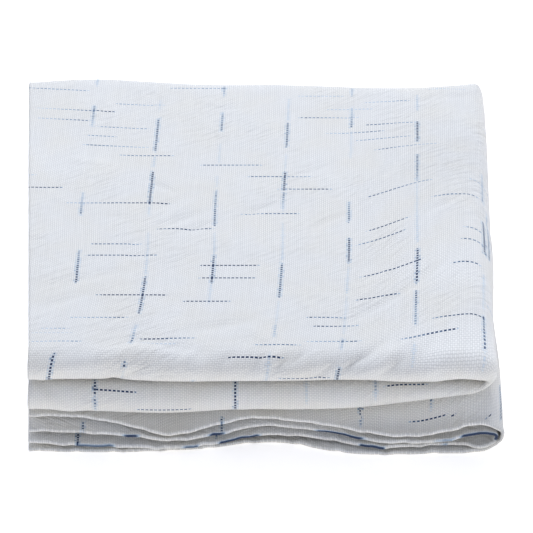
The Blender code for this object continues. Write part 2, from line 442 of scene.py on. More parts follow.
@dataclass
class Creases:
    """Soft ridges and troughs that washing and folding left in the cloth."""

    # along, across, angle in degrees, half length, half width, height
    main: np.ndarray = table(
        (-34.0, -63.5, 12.0, 14.0, 2.6, -1.05), (-20.0, -60.5, -14.0, 10.0, 2.0, 0.91),
        (-11.0, -68.0, 70.0, 3.2, 2.2, -0.84), (-30.0, -70.5, 35.0, 6.0, 1.7, 0.98),
        (12.0, -66.0, 55.0, 3.6, 1.3, 0.98), (15.5, -65.0, 52.0, 3.4, 1.3, 0.98),
        (30.0, -66.5, 48.0, 5.4, 1.4, 1.05), (34.5, -64.0, 44.0, 6.2, 1.5, 1.12),
        (24.0, -68.0, 52.0, 3.6, 1.3, 0.91), (43.0, -66.5, 40.0, 4.4, 1.4, 0.98),
        (-22.0, -4.5, 28.0, 7.0, 1.3, 0.77), (-17.0, -8.0, 30.0, 5.0, 1.2, 0.63),
        (2.0, 1.0, 32.0, 6.6, 1.3, 0.7), (-27.0, 11.0, -30.0, 4.6, 1.2, 0.63),
        (-53.0, -41.0, 25.0, 6.0, 1.4, 0.63), (55.0, -9.0, 34.0, 6.0, 1.3, 0.7),
        (21.0, -5.0, 36.0, 5.4, 1.2, 0.56), (17.0, 20.0, 30.0, 5.6, 1.3, 0.56),
        (46.0, -40.0, 30.0, 8.0, 1.7, 0.63), (33.0, -47.0, 26.0, 9.0, 1.7, 0.59),
        (-45.0, -30.0, 18.0, 10.0, 2.0, 0.53), (-8.0, -52.0, 14.0, 9.0, 1.8, 0.59),
        (-14.0, -64.0, 60.0, 4.0, 1.5, -0.7), (-4.0, -65.5, 50.0, 3.5, 1.4, 0.6),
        (5.0, -66.5, 58.0, 3.5, 1.3, 0.7), (8.5, -65.0, 55.0, 3.5, 1.3, -0.5),
        (38.5, -66.5, 40.0, 5.0, 1.5, -0.7), (48.0, -65.5, 35.0, 5.0, 1.5, 0.7),
        (54.0, -67.0, 30.0, 4.5, 1.5, -0.6),
    )
    # the small creases: their number, height, slant and its spread in degrees, the share that
    # lean that way, and the ranges of place, half length and half width
    small_count: int = 260
    small_height: float = 0.20
    slant: tuple[float, float] = (32.0, 22.0)
    leaning: float = 0.78
    along_range: tuple[float, float] = (-72.0, 215.0)
    across_range: tuple[float, float] = (-78.0, 66.0)
    long_range: tuple[float, float] = (2.2, 6.5)
    wide_range: tuple[float, float] = (0.8, 1.7)
    seed: int = 7
    # across, where the creases start on the front roll and end at the back, and over how far
    front_fade: tuple[float, float] = (-82.0, 5.0)
    back_fade: tuple[float, float] = (70.0, 8.0)

    @staticmethod
    def ridges(rows: np.ndarray, along: np.ndarray, across: np.ndarray) -> np.ndarray:
        """Adds up ridges of height h exp(-(s / half length)^2 - (d / half width)^2).

        s runs along the ridge from its middle and d square to it.

        Args:
            rows: one row for each ridge, with the columns of main.
            along: places along the warp.
            across: places across it, shaped like along.

        Returns:
            Heights, shaped like along.
        """
        total = np.zeros_like(along)
        for at, off, angle, long, wide, height in rows:
            turn = np.radians(angle)
            dx, dy = along - at, across - off
            s = (dx * np.cos(turn) + dy * np.sin(turn)) / long
            d = (dy * np.cos(turn) - dx * np.sin(turn)) / wide
            total += height * np.exp(-s * s - d * d)
        return total

    def small(self) -> np.ndarray:
        """The many faint creases, most of them on one slant.

        Returns:
            One row for each, with the columns of main.
        """
        rng = np.random.default_rng(self.seed)
        count = self.small_count
        slant = rng.normal(*self.slant, count) * np.where(rng.random(count) < self.leaning, 1.0, -1.0)
        along, across, long, wide = (
            rng.uniform(*span, count)
            for span in (self.along_range, self.across_range, self.long_range, self.wide_range)
        )
        height = rng.normal(0.0, self.small_height, count)
        return np.stack([along, across, slant, long, wide, height], axis=1)

    def heights(self, along: np.ndarray, across: np.ndarray) -> np.ndarray:
        """How far each place stands proud, with no creases on the hidden layers.

        Args:
            along: places along the warp.
            across: places across it, shaped like along.

        Returns:
            Heights in millimetres, shaped like along.
        """
        front, back = self.front_fade, self.back_fade
        shown = eased((across - front[0]) / front[1]) * eased((back[0] - across) / back[1])
        rows = np.concatenate([self.main, self.small()])
        return self.ridges(rows, along, across) * shown


class Shade(Enum):
    """How much dye a stretch of yarn took, from 0 to 1."""

    FAINT = 0.14
    PALE = 0.27
    LIGHT = 0.45
    MEDIUM = 0.64
    DEEP = 0.82
    DARK = 1.0


F, P, L, M, D, K = (shade.value for shade in Shade)


@dataclass
class Chart:
    """The ikat marks, charted in yarns: a repeat, and the marks of the lower layers.

    Every 32nd or 33rd weft yarn was dyed, so a weft mark is charted by its yarn's number among
    those, 0 for the one at first_line, or at low_first_line on the lower layers. The dyed warp
    yarns follow no count, so a warp mark is charted by its row.
    """

    first_line: float = 13.0
    low_first_line: float = 184.0
    line_pitch: float = 32.5
    # row, first column, columns long, shade at its start, shade at its end
    dashes: np.ndarray = table(
        (122, -47, 29, L, L), (117, 85, 19, P, F), (116, -120, 31, L, L), (113, 19, 22, P, P),
        (105, 52, 22, P, L), (103, -73, 24, L, P), (98, 33, 22, P, P), (94, -114, 40, F, D),
        (89, 20, 29, M, P), (83, -112, 26, P, M), (80, 53, 24, M, L), (77, -82, 26, L, L),
        (72, 33, 28, P, M), (67, -86, 14, L, L), (63, 49, 26, L, L), (57, -86, 31, M, P),
        (50, 58, 31, M, P), (48, -69, 26, L, M), (38, -28, 30, M, L), (28, -122, 13, P, P),
        (26, -5, 31, M, L), (15, -121, 26, K, M), (13, 11, 25, L, D), (0, 55, 31, M, L),
        (-1, -92, 50, P, K), (-12, -6, 27, L, M), (-14, -120, 9, P, P), (-20, 86, 22, L, M),
        (-27, -47, 26, M, D), (-34, 55, 19, D, M), (-42, -79, 24, M, L), (-45, 48, 24, L, D),
        (-53, -81, 34, M, M), (-55, 102, 8, M, L), (-63, -26, 28, D, D), (-66, 100, 10, M, L),
        (-75, -25, 26, D, M), (-76, 53, 28, M, D), (-91, -72, 31, D, K), (-85, 96, 12, M, M),
        (-97, -31, 21, D, M), (-97, 50, 20, D, M), (-112, -83, 27, P, M), (-112, 28, 18, M, L),
        (-120, 31, 21, D, L), (-122, -96, 13, F, L), (-126, -99, 19, F, F), (-131, -47, 25, D, L),
        (-134, -98, 24, P, L), (-134, 28, 25, P, M), (-135, -47, 16, F, P), (-127, 87, 24, M, D),
        (-137, 5, 20, L, M), (-137, 72, 26, L, D), (-146, -5, 24, K, K), (-160, 20, 22, M, M),
    )
    # dyed yarn, first row, last row, shade at its first row, shade at its last row
    lines: np.ndarray = table(
        (-3, 135, 122, L, P), (-3, 100, 77, M, P), (-3, 11, -13, P, M), (-3, -47, -78, L, D),
        (-3, -143, -163, K, D), (-2, 110, 98, F, F), (-2, 89, 53, M, M), (-2, 48, 36, P, P),
        (-2, 32, -3, K, D), (-2, -4, -14, P, F), (-2, -30, -72, F, P), (-2, -73, -109, D, M),
        (-2, -118, -136, P, M), (-2, -147, -151, M, M), (-2, -152, -167, F, F), (-1, 125, 113, M, P),
        (-1, 95, 74, L, M), (-1, 61, 41, F, F), (-1, 27, 15, F, F), (-1, 12, -23, L, M),
        (-1, -30, -50, F, P), (-1, -52, -79, M, K), (-1, -80, -100, P, F), (-1, -159, -167, P, M),
        (0, 111, 85, F, P), (0, 84, 58, M, M), (0, 50, 34, F, F), (0, 32, 12, D, D), (0, 10, -8, M, P),
        (0, -20, -58, F, P), (0, -60, -93, M, M), (0, -96, -117, F, F), (0, -118, -130, L, P),
        (0, -144, -165, P, P), (1, 123, 113, L, P), (1, 101, 79, P, M), (1, 75, 45, F, F),
        (1, 0, -20, L, M), (1, -36, -60, D, D), (1, -64, -90, F, P), (1, -92, -126, F, F),
        (1, -131, -141, L, P), (1, -151, -166, K, K), (2, 111, 94, P, P), (2, 81, 55, D, M),
        (2, 37, 2, M, L), (2, 0, -60, F, P), (2, -65, -92, D, D), (2, -99, -128, M, L),
        (2, -140, -152, P, F), (3, 15, -20, P, L), (3, -40, -72, M, K), (3.1, -25, -72, P, M),
        (3, -90, -120, P, F), (3, -124, -147, M, M), (3, -148, -154, P, F),
    )
    low_dashes: np.ndarray = table(
        (-166, 296, 19, D, K),
        (-155, 270, 25, M, M),
        (-163, 160, 20, M, D),
        (388, 145, 17, D, M),
        (390, 141, 2, K, K),
        (401, 126, 2, K, K),
    )
    low_lines: np.ndarray = table(
        (4, -172, -162, D, K), (4, -162, -150, M, P), (2, -172, -150, D, K), (1, -170, -155, P, F),
        (0, -170, -155, M, F), (0, 378, 383, K, K), (0, 383, 391, M, P), (-1, 375, 384, M, F),
        (-2, 390, 415, M, D), (2, 390, 393, K, K), (2, 397, 402, K, K), (2, -732, -726, M, M),
        (4, -745, -737, M, M),
    )
    # the upper layers' own front edges, by the upper layers' numbers
    edge_lines: np.ndarray = table((-3, -770, -752, K, K), (-1, -757, -750, M, M))
    # columns and rows to the next repeat, and which repeats are made each way
    period: tuple[int, int] = (195, 330)
    repeats_right: tuple[int, ...] = (-1, 0, 1, 2)
    repeats_back: tuple[int, ...] = (-3, -2, -1, 0, 1, 2)
    # the parts with marks of their own
    shown_columns: tuple[float, float] = (-130.0, 125.0)
    shown_rows: tuple[float, float] = (-172.0, 140.0)
    low_rows: tuple[float, float] = (-185.0, -135.0)
    edge_rows: tuple[float, float] = (-700.0, 370.0)
    # how far past its ends a mark is looked for, what that counts for, and a distance too far
    reach: float = 5.0
    past_counts: float = 0.2
    too_far: float = 9.0

    def spread(self, rows: np.ndarray, columns: tuple[int, ...], lengths: tuple[int, ...]) -> np.ndarray:
        """Repeats marks over the whole cloth, a period apart each way.

        Args:
            rows: the marks to repeat.
            columns: which of their numbers are columns.
            lengths: which are rows.

        Returns:
            The repeats, without the marks themselves.
        """
        made = []
        for right in self.repeats_right:
            for back in self.repeats_back:
                if (right, back) != (0, 0):
                    moved = rows.astype(float)
                    moved[:, columns] += right * self.period[0]
                    moved[:, lengths] += back * self.period[1]
                    made.append(moved)
        return np.concatenate(made)

    def all_dashes(self) -> np.ndarray:
        """Every warp mark.

        Returns:
            Row, first column, last column, and two shades for each.
        """
        base, low = self.dashes.astype(float), self.low_dashes.astype(float)
        for marks in (base, low):
            marks[:, 2] += marks[:, 1]
        made = self.spread(base, (1, 2), (0,))
        kept = made[self.free((made[:, 1] + made[:, 2]) / 2, made[:, 0])]
        return np.concatenate([base, kept, low])

    def on_yarns(self, marks: np.ndarray, first: float) -> np.ndarray:
        """Weft marks with the column first + pitch x number, rounded down, for the yarn's number.

        Args:
            marks: the marks, by the number of their dyed yarn.
            first: the column of dyed yarn 0.

        Returns:
            The marks, by column.
        """
        placed = marks.astype(float)
        placed[:, 0] = np.floor(first + self.line_pitch * placed[:, 0])
        return placed

    def all_lines(self) -> np.ndarray:
        """Every weft mark.

        Returns:
            Column, first row, last row, and two shades for each.
        """
        base = self.on_yarns(self.lines, self.first_line)
        edge = self.on_yarns(self.edge_lines, self.first_line)
        low = self.on_yarns(self.low_lines, self.low_first_line)
        made = self.spread(base, (0,), (1, 2))
        kept = made[self.free(made[:, 0], (made[:, 1] + made[:, 2]) / 2)]
        return np.concatenate([base, kept, edge, low])

    def free(self, columns: np.ndarray, rows: np.ndarray) -> np.ndarray:
        """Which places are outside the parts with marks of their own.

        Args:
            columns: the places along the warp, in yarns.
            rows: the places across it.

        Returns:
            True for each place that is.
        """
        top = (columns > self.shown_columns[0]) & (columns < self.shown_columns[1])
        top &= (rows > self.shown_rows[0]) & (rows < self.shown_rows[1])
        low = (columns > self.shown_columns[1]) & (rows > self.low_rows[0]) & (rows < self.low_rows[1])
        edge = (rows < self.edge_rows[0]) | (rows > self.edge_rows[1])
        return ~(top | low | edge)

    def nearest(
        self, marks: np.ndarray, along: np.ndarray, across: np.ndarray
    ) -> tuple[np.ndarray, np.ndarray]:
        """The nearest mark to each place.

        A place is on a mark's line when across is the mark's number, and within its length
        when along is between its ends, give or take reach.

        Args:
            marks: number, from, to, and two shades for each mark.
            along: places along the marks.
            across: places across them.

        Returns:
            number, from and to for each place, and its two shades with a spare 0.
        """
        number = marks[:, 0]
        start, stop = marks[:, 1:3].min(axis=1), marks[:, 1:3].max(axis=1)
        best = np.full(len(along), self.too_far)
        chosen = np.zeros(len(along), int)
        for index in range(len(marks)):
            off = np.abs(across - number[index] - 0.5)
            past = np.maximum(np.maximum(start[index] - along, along - stop[index]), 0.0)
            off = np.where(past > self.reach, self.too_far, off + self.past_counts * past)
            closer = off < best
            best[closer] = off[closer]
            chosen[closer] = index
        found = marks[chosen]
        shades = np.zeros((len(along), 3))
        shades[:, :2] = np.where((best < self.too_far)[:, None], found[:, 3:5], 0.0)
        return found[:, :3], shades


@dataclass
class SelvedgeDye:
    """Solid blue where a dyed yarn runs along a selvedge, on the layers 6 and 7."""

    # x from, x to, shade
    layer_6: np.ndarray = table(
        (-37.5, -33.0, K),
        (-13.5, -8.5, K),
        (17.5, 30.5, K),
        (51.0, 56.0, L),
        (57.0, 72.0, K),
    )
    layer_7: np.ndarray = table(
        (-50.5, -40.0, M),
        (-20.5, -16.0, M),
        (-10.5, 1.0, K),
        (29.0, 36.0, K),
        (52.5, 53.5, M),
    )
    # half the length over which the dye eases off at each end
    fade: float = 0.5

    def at(self, rows: np.ndarray, x: np.ndarray) -> np.ndarray:
        """The dye at places along an edge, easing off over a millimetre at each end.

        Args:
            rows: from, to and shade of each stretch.
            x: the places.

        Returns:
            The dye, shaped like x.
        """
        total = np.zeros_like(x)
        for start, stop, shade in rows:
            ends = eased(x - start + self.fade) * eased(stop - x + self.fade)
            total = np.maximum(total, shade * ends)
        return total


class Graph:
    """Builds a material's nodes with short calls."""

    def __init__(self, material: bpy.types.Material) -> None:
        """Starts on a material's own node tree.

        Args:
            material: the material to build.
        """
        self.nodes = material.node_tree.nodes
        self.links = material.node_tree.links

    def feed(self, socket: bpy.types.NodeSocket, value: object) -> None:
        """Links a socket to another node's output, or sets its value.

        Args:
            socket: the input to feed.
            value: an output socket, a number or a tuple.
        """
        if isinstance(value, bpy.types.NodeSocket):
            self.links.new(value, socket)
        else:
            socket.default_value = value

    def math(self, operation: str, *values: object, clamp: bool = False) -> bpy.types.NodeSocket:
        """A Math node.

        Args:
            operation: what it does.
            values: its inputs in order.
            clamp: whether to hold the result between 0 and 1.

        Returns:
            Its output.
        """
        node = self.nodes.new("ShaderNodeMath")
        node.operation = operation
        node.use_clamp = clamp
        for socket, value in zip(node.inputs, values):
            self.feed(socket, value)
        return node.outputs[0]

    def mapped(
        self, value: object, low: object, high: object, to: tuple = (0.0, 1.0)
    ) -> bpy.types.NodeSocket:
        """A Map Range node, eased at both ends.

        Args:
            value: the value to map.
            low: the value that gives the first number of to.
            high: the value that gives the second.
            to: the two numbers.

        Returns:
            Its output.
        """
        node = self.nodes.new("ShaderNodeMapRange")
        node.interpolation_type = "SMOOTHSTEP"
        for socket, given in zip(node.inputs[:5], (value, low, high, *to)):
            self.feed(socket, given)
        return node.outputs[0]

    def joined(self, x: object, y: object, z: object) -> bpy.types.NodeSocket:
        """A vector of three values.

        Args:
            x: its first value.
            y: its second value.
            z: its third value.

        Returns:
            The vector.
        """
        node = self.nodes.new("ShaderNodeCombineXYZ")
        for socket, value in zip(node.inputs, (x, y, z)):
            self.feed(socket, value)
        return node.outputs[0]

    def split(self, vector: bpy.types.NodeSocket) -> tuple:
        """Takes a vector apart.

        Args:
            vector: the vector.

        Returns:
            Its three values.
        """
        node = self.nodes.new("ShaderNodeSeparateXYZ")
        self.feed(node.inputs[0], vector)
        return tuple(node.outputs)

    def attribute(self, name: str) -> tuple:
        """Reads a mesh attribute.

        Args:
            name: the attribute's name.

        Returns:
            Its three values.
        """
        node = self.nodes.new("ShaderNodeAttribute")
        node.attribute_name = name
        return self.split(node.outputs["Vector"])

    def noise(self, vector: bpy.types.NodeSocket, scale: float, detail: float) -> bpy.types.NodeSocket:
        """A Noise Texture's value.

        Args:
            vector: where it is read.
            scale: its scale.
            detail: its detail.

        Returns:
            The value, from 0 to 1.
        """
        node = self.nodes.new("ShaderNodeTexNoise")
        self.feed(node.inputs["Vector"], vector)
        node.inputs["Scale"].default_value = scale
        node.inputs["Detail"].default_value = detail
        return node.outputs[0]

    def plus(self, first: object, second: object) -> bpy.types.NodeSocket:
        """The sum of two values."""
        return self.math("ADD", first, second)

    def minus(self, first: object, second: object) -> bpy.types.NodeSocket:
        """The first value less the second."""
        return self.math("SUBTRACT", first, second)

    def times(self, first: object, second: object) -> bpy.types.NodeSocket:
        """The product of two values."""
        return self.math("MULTIPLY", first, second)

    def mixed(self, share: object, first: object, second: object) -> bpy.types.NodeSocket:
        """A mix of two colours.

        Args:
            share: how much of the second there is, from 0 to 1.
            first: the first colour.
            second: the second colour.

        Returns:
            The colour.
        """
        node = self.nodes.new("ShaderNodeMix")
        node.data_type = "RGBA"
        self.feed(node.inputs["Factor"], share)
        self.feed(node.inputs["A"], first)
        self.feed(node.inputs["B"], second)
        return node.outputs["Result"]


@dataclass(frozen=True)
class CottonFinish:
    """Bleached cotton with indigo ikat yarns."""

    weave: Weave
    white: tuple[float, float, float, float] = (0.830, 0.810, 0.750, 1.0)
    warm: tuple[float, float, float, float] = (0.830, 0.798, 0.715, 1.0)
    sky: tuple[float, float, float, float] = (0.40, 0.55, 0.68, 1.0)
    indigo: tuple[float, float, float, float] = (0.028, 0.046, 0.095, 1.0)
    # patches of white and warm white: their noise's scale and detail, and the range that is used
    patches: tuple[float, float] = (70.0, 3.0)
    patch_range: tuple[float, float] = (0.35, 0.7)
    # how light yarns differ: its change across, its noise's scale and detail, range and effect
    streak_across: float = 0.035
    streaks: tuple[float, float] = (0.9, 1.0)
    streak_range: tuple[float, float] = (0.3, 0.7)
    streak_light: tuple[float, float] = (0.985, 1.015)
    # colour scale for painted shade between the yarns and painted light on their crowns, roughness
    # between the yarns and on their crowns, and the height of a full crown
    light: tuple[float, float] = (0.83, 1.05)
    crown: float = 0.95
    roughness: tuple[float, float] = (0.94, 0.86)
    sheen: float = 0.12
    sheen_roughness: float = 0.5
    specular: float = 0.3
    # the dye over which sky turns to indigo, and how fast dye hides the white
    deepens: tuple[float, float] = (0.10, 0.75)
    hiding: float = 2.0
    # the weave's crowns: how far they fall across and along the yarn on top, and the warp's height
    weave_depth: float = 0.13
    fall_across: float = 0.9
    fall_along: float = 0.4
    warp_height: float = 0.66
    # fine creases: depth, slant in degrees, length and width, and patches of weak and strong ones
    crinkle_depth: float = 0.44
    crinkle_slant: float = 31.0
    crinkle_size: tuple[float, float] = (0.0062, 0.0016)
    crinkle_detail: float = 1.5
    crinkle_patch: float = 0.024
    crinkle_range: tuple[float, float] = (0.35, 0.68)
    crinkle_shares: tuple[float, float] = (0.25, 2.0)
    # where a dyed yarn shows: the middle of its float, its reach each way, the least that shows
    warp_float: tuple[float, float, float] = (1.5, 0.66, 0.08)
    weft_float: tuple[float, float, float] = (0.5, 0.64, 0.14)
    float_edge: float = 0.08
    # a mark's unevenness: its noise, how far its ends wander and fade, and its strength
    blots: tuple[float, float] = (0.55, 2.0)
    wander_range: tuple[float, float] = (0.2, 0.8)
    wander: float = 1.6
    end_fade: float = 1.5
    blot_range: tuple[float, float] = (0.25, 0.75)
    blot_strength: tuple[float, float] = (0.7, 1.1)
    # how many yarns off a mark still takes dye along the warp and the weft, and how much does
    dash_reach: float = 0.55
    line_reach: float = 1.55
    halos: tuple[float, float] = (0.31, 1.0)
    halo_range: tuple[float, float] = (0.3, 0.75)
    halo_share: tuple[float, float] = (0.05, 0.55)

    def material(self) -> bpy.types.Material:
        """The cloth's material, from the yarn places in its UV map and the marks' attributes.

        Returns:
            The material.
        """
        material = bpy.data.materials.new("ikat_cotton")
        material.use_nodes = True
        graph = Graph(material)
        shader = graph.nodes["Principled BSDF"]
        uv = graph.nodes.new("ShaderNodeUVMap")
        uv.uv_map = "yarns"
        along, across, _ = graph.split(uv.outputs[0])
        column = graph.math("DIVIDE", along, self.weave.weft_pitch)
        row = graph.math("DIVIDE", graph.minus(across, self.weave.first_row), self.weave.warp_pitch)
        weft = graph.math("FLOOR", column)
        warp = graph.math("FLOOR", row)
        warp_up = graph.math("FLOORED_MODULO", graph.plus(weft, warp), 2.0)
        height = self.relief(graph, column, row, warp_up)
        dye = self.dye(graph, column, row, weft, warp)
        uneven = graph.noise(graph.joined(along, across, 0.0), *self.patches)
        white = graph.mixed(graph.mapped(uneven, *self.patch_range), self.white, self.warm)
        place = graph.joined(weft, graph.times(row, self.streak_across), 0.0)
        yarn_tone_and_painted_shade = graph.mapped(graph.noise(place, *self.streaks), *self.streak_range, self.streak_light)
        # painted shade and painted light of the weave: the white is darkened between the yarns and
        # lightened on their crowns
        yarn_tone_and_painted_shade = graph.times(yarn_tone_and_painted_shade, graph.mapped(height, 0.0, self.crown, self.light))
        node = graph.nodes.new("ShaderNodeVectorMath")
        node.operation = "SCALE"
        graph.feed(node.inputs[0], white)
        graph.feed(node.inputs["Scale"], yarn_tone_and_painted_shade)
        blue = graph.mixed(graph.mapped(dye, *self.deepens), self.sky, self.indigo)
        hidden = graph.math("MULTIPLY", dye, self.hiding, clamp=True)
        graph.feed(shader.inputs["Base Color"], graph.mixed(hidden, node.outputs[0], blue))
        graph.feed(shader.inputs["Roughness"], graph.mapped(height, 0.0, 1.0, self.roughness))
        shader.inputs["Sheen Weight"].default_value = self.sheen
        shader.inputs["Sheen Roughness"].default_value = self.sheen_roughness
        shader.inputs["Specular IOR Level"].default_value = self.specular
        bump = graph.nodes.new("ShaderNodeBump")
        bump.inputs["Distance"].default_value = MM
        woven = graph.times(height, self.weave_depth)
        graph.feed(bump.inputs["Height"], graph.plus(woven, self.crinkle(graph, along, across)))
        graph.links.new(bump.outputs[0], shader.inputs["Normal"])
        return material

    def crinkle(self, graph: Graph, along: object, across: object) -> bpy.types.NodeSocket:
        """Fine creases on one slant, in millimetres, stronger in some patches than in others.

        A noise is read at s / long and d / wide, where s runs along the slant and d square to
        it, both turned from the places by the slant's angle. The patches are another noise,
        read at a height of half a unit so that it follows none of the others.

        Args:
            graph: the material's nodes.
            along: place along the warp, in metres.
            across: place across it, in metres.

        Returns:
            The height.
        """
        turn = np.radians(self.crinkle_slant)
        cos, sin = float(np.cos(turn)), float(np.sin(turn))
        long, wide = self.crinkle_size
        s = graph.plus(graph.times(along, cos / long), graph.times(across, sin / long))
        d = graph.minus(graph.times(across, cos / wide), graph.times(along, sin / wide))
        fold = graph.noise(graph.joined(s, d, 0.0), 1.0, self.crinkle_detail)
        patch = graph.noise(graph.joined(along, across, 0.5), 1.0 / self.crinkle_patch, 1.0)
        weak, strong = (share * self.crinkle_depth for share in self.crinkle_shares)
        return graph.times(fold, graph.mapped(patch, *self.crinkle_range, (weak, strong)))

    def relief(self, graph: Graph, column: object, row: object, warp_up: object) -> bpy.types.NodeSocket:
        """Height of the weave: each crossing is a crown, narrow across its top yarn.

        The crown is top - fall_across (2f)^2 - fall_along (2g)^2, where f runs across the yarn
        on top and g along it, both from the middle of the crossing. The top is 1 where the weft
        is on top and warp_height where the warp is.

        Args:
            graph: the material's nodes.
            column: place along the warp, in yarns.
            row: place across it, in yarns.
            warp_up: 1 where the warp is on top, or else 0.

        Returns:
            The height, from 0 to 1.
        """
        parts = []
        for value in (column, row):
            part = graph.minus(graph.math("FRACT", value), 0.5)
            parts.append(graph.times(graph.times(part, part), 4.0))
        flat = graph.mapped(warp_up, 0.0, 1.0, (self.fall_across, self.fall_along))
        steep = graph.mapped(warp_up, 0.0, 1.0, (self.fall_along, self.fall_across))
        drop = graph.plus(graph.times(parts[0], flat), graph.times(parts[1], steep))
        top = graph.mapped(warp_up, 0.0, 1.0, (1.0, self.warp_height))
        return graph.math("SUBTRACT", top, drop, clamp=True)

    def dye(
        self, graph: Graph, column: object, row: object, weft: object, warp: object
    ) -> bpy.types.NodeSocket:
        """How much dye shows: a mark shows where its own yarn is on top.

        Args:
            graph: the material's nodes.
            column: place along the warp, in yarns.
            row: place across it, in yarns.
            weft: the weft yarn's number.
            warp: the warp yarn's number.

        Returns:
            The dye, from 0 to 1.
        """
        blot = graph.noise(graph.joined(column, row, 0.0), *self.blots)
        halo = graph.noise(graph.joined(column, row, 0.0), *self.halos)
        halo = graph.mapped(halo, *self.halo_range, self.halo_share)
        dash = self.mark(graph, "dash", column, warp, (self.dash_reach, 0.0), blot)
        dash = graph.times(dash, self.float_over(graph, graph.plus(column, warp), self.warp_float))
        line = self.mark(graph, "line", row, weft, (self.line_reach, halo), blot)
        line = graph.times(line, self.float_over(graph, graph.plus(row, weft), self.weft_float))
        edge = graph.nodes.new("ShaderNodeAttribute")
        edge.attribute_name = "selvedge"
        both = graph.math("MAXIMUM", dash, line)
        return graph.math("MAXIMUM", both, edge.outputs["Fac"], clamp=True)

    def float_over(
        self, graph: Graph, place: object, shown: tuple[float, float, float]
    ) -> bpy.types.NodeSocket:
        """How much of a yarn shows along its length: it floats over every other crossing.

        Args:
            graph: the material's nodes.
            place: place along the yarn plus the yarn's own number.
            shown: where in each two crossings the yarn is on top, how many crossings it shows
                for on each side of that, and how much shows where it dips under.

        Returns:
            The share, up to 1.
        """
        middle, reach, least = shown
        step = graph.math("FLOORED_MODULO", graph.minus(place, middle - 1.0), 2.0)
        off = graph.math("ABSOLUTE", graph.minus(step, 1.0))
        return graph.mapped(off, reach + self.float_edge, reach - self.float_edge, (least, 1.0))

    def mark(
        self, graph: Graph, name: str, place: object, yarn: object, width: tuple, blot: object
    ) -> bpy.types.NodeSocket:
        """One kind of mark, which fades unevenly over its last few yarns.

        Args:
            graph: the material's nodes.
            name: the attribute that holds its place; its shades are in the one with _shade.
            place: place along the mark, in yarns.
            yarn: number of the yarn across it.
            width: how many yarns off the mark still takes dye, and how much of it.
            blot: a noise that makes its ends and its strength uneven.

        Returns:
            The dye.
        """
        number, start, stop = graph.attribute(name)
        first, last, _ = graph.attribute(name + "_shade")
        wander = graph.mapped(blot, *self.wander_range, (-self.wander, self.wander))
        moved = graph.plus(place, wander)
        low = graph.math("MINIMUM", start, stop)
        high = graph.math("MAXIMUM", start, stop)
        fade = self.end_fade
        rise = graph.mapped(moved, graph.minus(low, fade), graph.plus(low, fade))
        fall = graph.mapped(moved, graph.plus(high, fade), graph.minus(high, fade))
        share = graph.math("DIVIDE", graph.minus(place, start), graph.minus(stop, start), clamp=True)
        shade = graph.plus(first, graph.times(share, graph.minus(last, first)))
        off = graph.math("ABSOLUTE", graph.minus(yarn, number))
        own = graph.math("LESS_THAN", off, 0.5)
        beside = graph.times(graph.math("LESS_THAN", off, width[0]), width[1])
        shade = graph.times(shade, graph.math("MAXIMUM", own, beside))
        total = graph.times(graph.times(rise, fall), shade)
        return graph.times(total, graph.mapped(blot, *self.blot_range, self.blot_strength))


